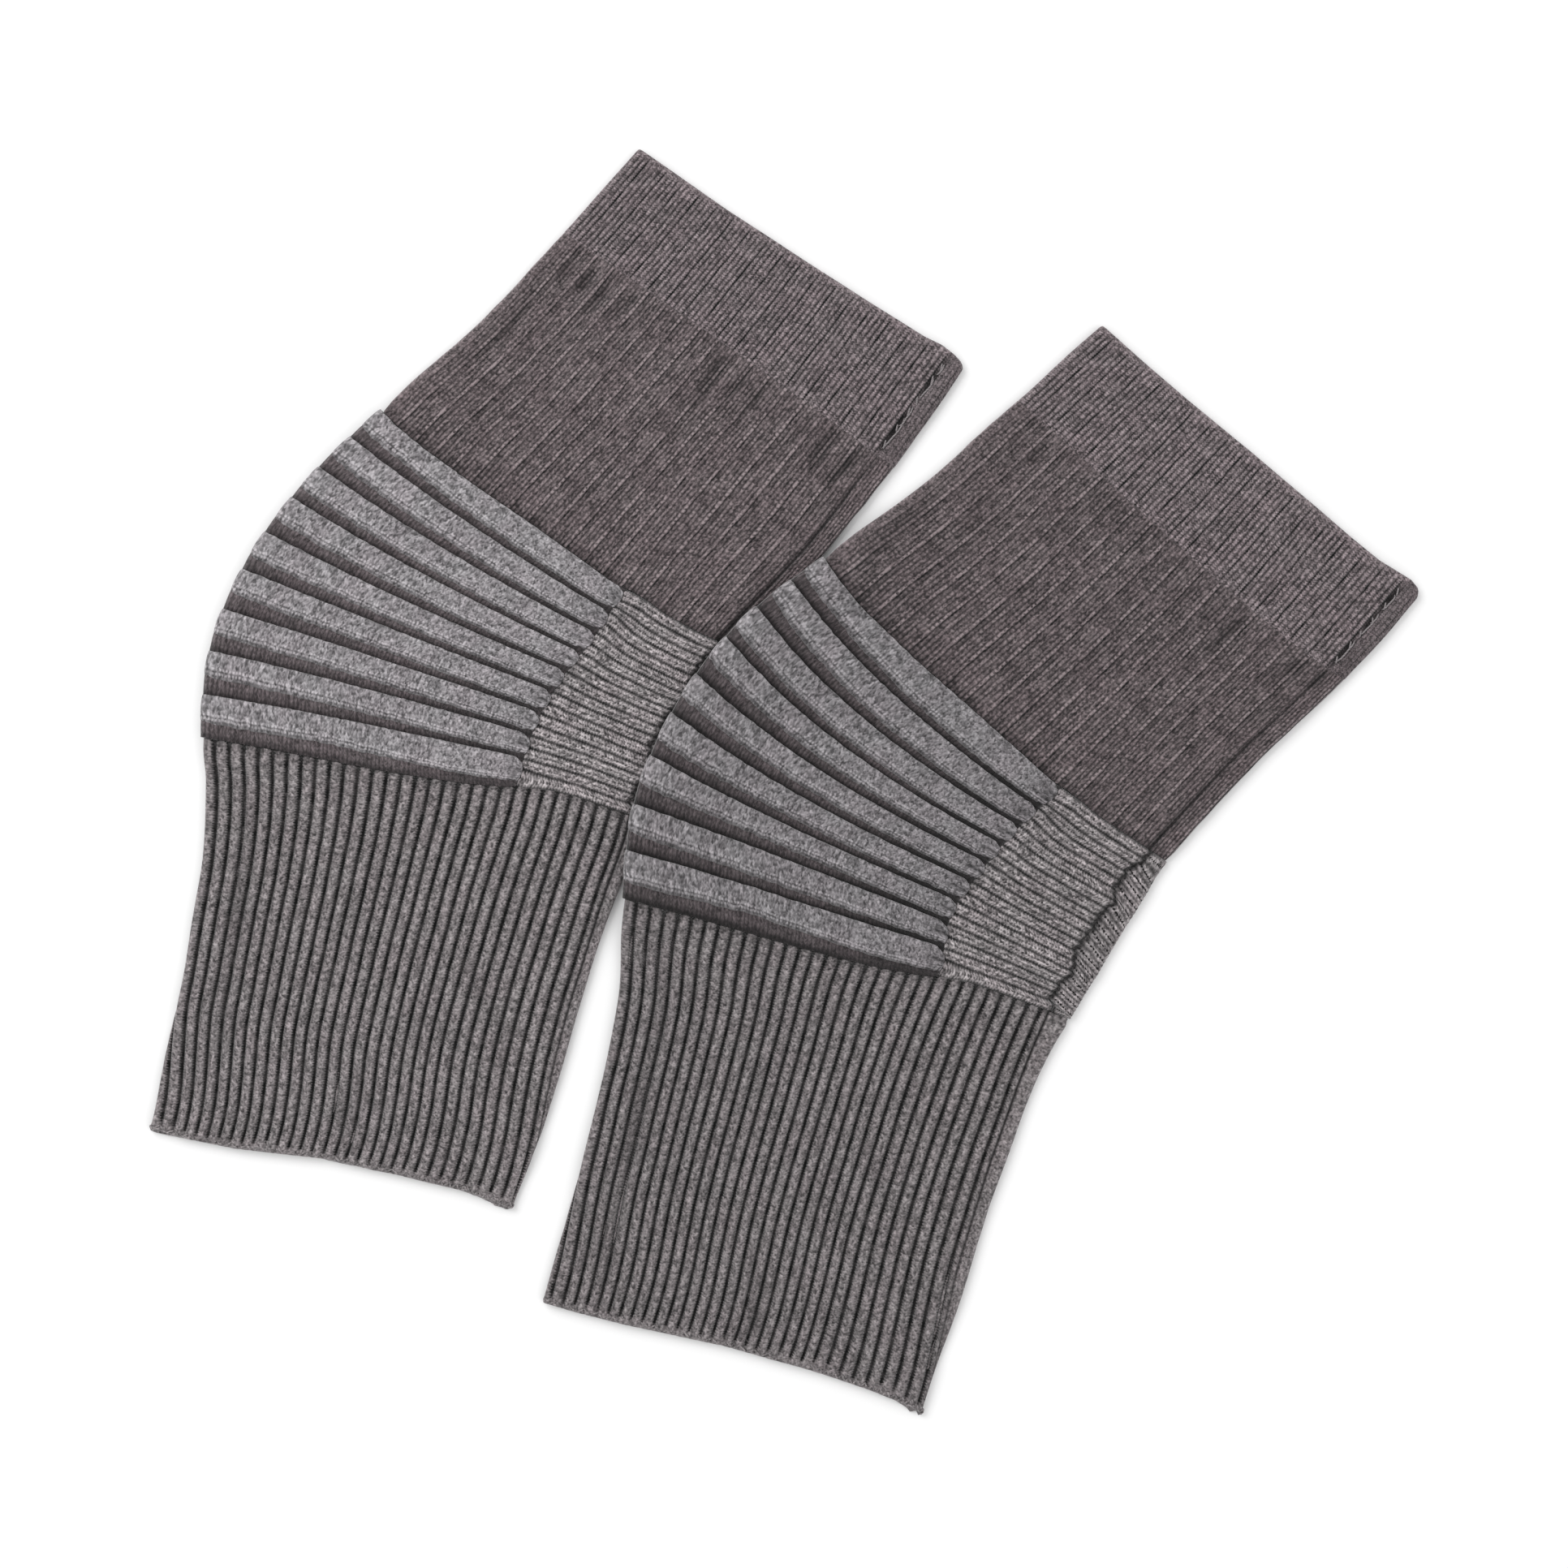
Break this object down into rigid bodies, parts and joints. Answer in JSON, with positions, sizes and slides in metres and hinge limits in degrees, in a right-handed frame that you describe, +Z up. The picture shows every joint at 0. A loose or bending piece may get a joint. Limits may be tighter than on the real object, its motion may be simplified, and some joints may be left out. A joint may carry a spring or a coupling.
{
  "type": "pair of knitted knee warmers",
  "caption": "Knitted knee warmers laid flat, with ribbed cuffs, a fan of thick ribs over the knee, cross-ribbed knee pits and ribbed calves; they warm the leg from thigh to calf.",
  "frame": {"origin": "on the surface the pair lies on, below the middle of its plan box", "axes": "+Z up from the surface, +Y from the calf hems towards the thigh cuffs, +X from the left warmer towards the right one"},
  "size_m": [0.4534, 0.4502, 0.0115],
  "materials": {
    "cuff": "fine rib knit in brown-grey marl, matt",
    "thigh": "flat knit in dark brown-grey marl with pale dotted wales, matt",
    "knee": "fine ground knit between the knee's bands, dark and matt",
    "band": "puffy knitted bands in pale heather grey, matt",
    "pit": "cross-ribbed knit in mid grey marl, matt",
    "calf": "bold rib knit in grey-brown marl, matt"
  },
  "bodies": {
    "root": {"left_band_1": "band", "left_band_2": "band", "left_band_3": "band", "left_band_4": "band", "left_band_5": "band", "left_band_6": "band", "left_band_7": "band", "left_band_8": "band", "left_band_9": "band", "left_calf": "calf", "left_cuff": "cuff", "left_knee": "knee", "left_pit_fold_side": "pit", "left_pit_seam_side": "pit", "left_thigh": "thigh", "right_band_1": "band", "right_band_2": "band", "right_band_3": "band", "right_band_4": "band", "right_band_5": "band", "right_band_6": "band", "right_band_7": "band", "right_band_8": "band", "right_band_9": "band", "right_calf": "calf", "right_cuff": "cuff", "right_knee": "knee", "right_pit_fold_side": "pit", "right_pit_seam_side": "pit", "right_thigh": "thigh"}
  },
  "joints": []
}
